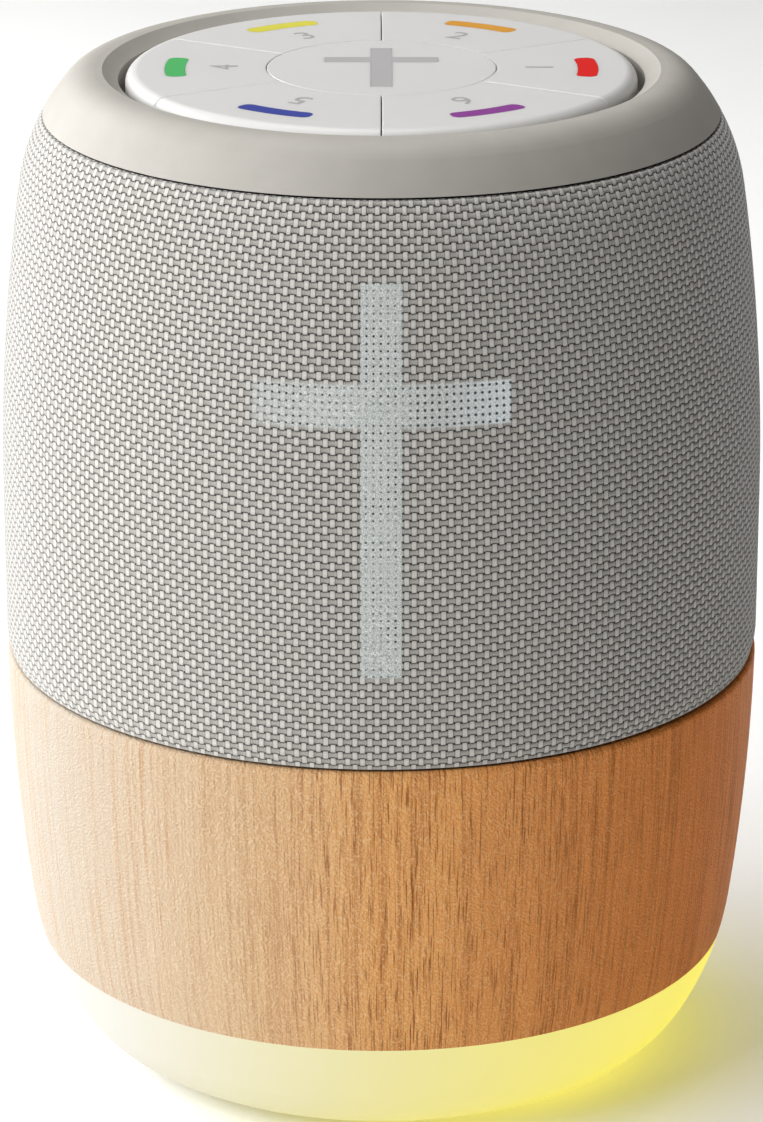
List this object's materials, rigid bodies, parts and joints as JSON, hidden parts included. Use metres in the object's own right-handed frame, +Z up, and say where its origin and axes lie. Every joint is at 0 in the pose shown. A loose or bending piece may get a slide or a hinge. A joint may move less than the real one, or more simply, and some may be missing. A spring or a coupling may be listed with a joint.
{
  "type": "audio story player",
  "caption": "Barrel-shaped portable speaker that plays stories: a ring of sector keys round a centre button, woven cloth sleeve with a lit cross, wood band and glowing base.",
  "frame": {"origin": "centre of the foot ring's underside, on the floor", "axes": "+Z up along the barrel; the lit cross faces -Y; the charging socket faces +Y"},
  "size_m": [0.1, 0.1, 0.1344],
  "materials": {
    "soft_touch_grey": "fine soft-touch moulding",
    "key_white": "glossy moulded white",
    "inlay_grey": "flush moulded inlay",
    "inlay_red": "flush moulded inlay",
    "inlay_orange": "flush moulded inlay",
    "inlay_yellow": "flush moulded inlay",
    "inlay_green": "flush moulded inlay",
    "inlay_blue": "flush moulded inlay",
    "inlay_purple": "flush moulded inlay",
    "speaker_cloth": "plain woven speaker cloth",
    "oiled_wood": "turned, vertical grain, satin oil",
    "frosted_light": "frosted, lit from inside",
    "black_plastic": "moulded structural plastic",
    "clear_plastic": "moulded clear light guide",
    "rubber_foot": "soft rubber",
    "bright_steel": "plated steel",
    "ferrite": "pressed ferrite",
    "paper_cone": "pressed pulp",
    "circuit_board": "solder mask over glass laminate",
    "chip_black": "moulded component",
    "diode_white": "white diode package",
    "battery_wrap": "pouch foil with film",
    "copper_coil": "wound wire on a former",
    "lead_insulation": "soft insulated lead",
    "flat_cable_film": "film cable"
  },
  "bodies": {
    "player_body": {"top_ring": "soft_touch_grey", "fabric_sleeve": "speaker_cloth", "wood_band": "oiled_wood", "light_base": "frosted_light", "base_plate": "black_plastic", "foot_ring": "rubber_foot", "base_screws": "bright_steel", "core_tub": "black_plastic", "light_ring_board": "circuit_board", "base_lights": "diode_white", "battery_pack": "battery_wrap", "main_board": "circuit_board", "board_chips": "chip_black", "charge_socket": "bright_steel", "baffle": "black_plastic", "driver_gasket": "rubber_foot", "driver_frame": "bright_steel", "driver_screws": "bright_steel", "driver_front_plate": "bright_steel", "driver_magnet": "ferrite", "driver_yoke": "bright_steel", "surround": "rubber_foot", "spider": "speaker_cloth", "grille_frame": "black_plastic", "frame_screws": "bright_steel", "cross_light_guide": "clear_plastic", "cross_light_board": "circuit_board", "cross_lights": "diode_white", "key_deck": "black_plastic", "deck_screws": "bright_steel", "key_board": "circuit_board", "key_switches": "chip_black", "key_cable": "flat_cable_film", "lead_wires": "lead_insulation"},
    "speaker_cone": {"speaker_cone": "paper_cone", "voice_coil": "copper_coil", "dust_cap": "paper_cone"},
    "centre_key": {"centre_key": "key_white", "cross_mark": "inlay_grey", "switch_plunger_centre": "chip_black"},
    "story_key_1": {"story_key_1": "key_white", "story_mark_1": "inlay_red", "switch_plunger_1": "chip_black"},
    "story_key_2": {"story_key_2": "key_white", "story_mark_2": "inlay_orange", "switch_plunger_2": "chip_black"},
    "story_key_3": {"story_key_3": "key_white", "story_mark_3": "inlay_yellow", "switch_plunger_3": "chip_black"},
    "story_key_4": {"story_key_4": "key_white", "story_mark_4": "inlay_green", "switch_plunger_4": "chip_black"},
    "story_key_5": {"story_key_5": "key_white", "story_mark_5": "inlay_blue", "switch_plunger_5": "chip_black"},
    "story_key_6": {"story_key_6": "key_white", "story_mark_6": "inlay_purple", "switch_plunger_6": "chip_black"}
  },
  "joints": [
    {"name": "story_key_1_press", "type": "slide", "parent": "player_body", "child": "story_key_1", "axis": [0, 0, -1], "range_m": [0, 0.0008], "stiffness_N_per_m": 1800},
    {"name": "story_key_2_press", "type": "slide", "parent": "player_body", "child": "story_key_2", "axis": [0, 0, -1], "range_m": [0, 0.0008], "stiffness_N_per_m": 1800},
    {"name": "story_key_3_press", "type": "slide", "parent": "player_body", "child": "story_key_3", "axis": [0, 0, -1], "range_m": [0, 0.0008], "stiffness_N_per_m": 1800},
    {"name": "story_key_4_press", "type": "slide", "parent": "player_body", "child": "story_key_4", "axis": [0, 0, -1], "range_m": [0, 0.0008], "stiffness_N_per_m": 1800},
    {"name": "story_key_5_press", "type": "slide", "parent": "player_body", "child": "story_key_5", "axis": [0, 0, -1], "range_m": [0, 0.0008], "stiffness_N_per_m": 1800},
    {"name": "story_key_6_press", "type": "slide", "parent": "player_body", "child": "story_key_6", "axis": [0, 0, -1], "range_m": [0, 0.0008], "stiffness_N_per_m": 1800},
    {"name": "centre_key_press", "type": "slide", "parent": "player_body", "child": "centre_key", "axis": [0, 0, -1], "range_m": [0, 0.0008], "stiffness_N_per_m": 1800},
    {"name": "cone_stroke", "type": "slide", "parent": "player_body", "child": "speaker_cone", "axis": [0, 0, 1], "range_m": [-0.0015, 0.0015], "stiffness_N_per_m": 1500, "deforming": ["surround", "spider"]}
  ]
}
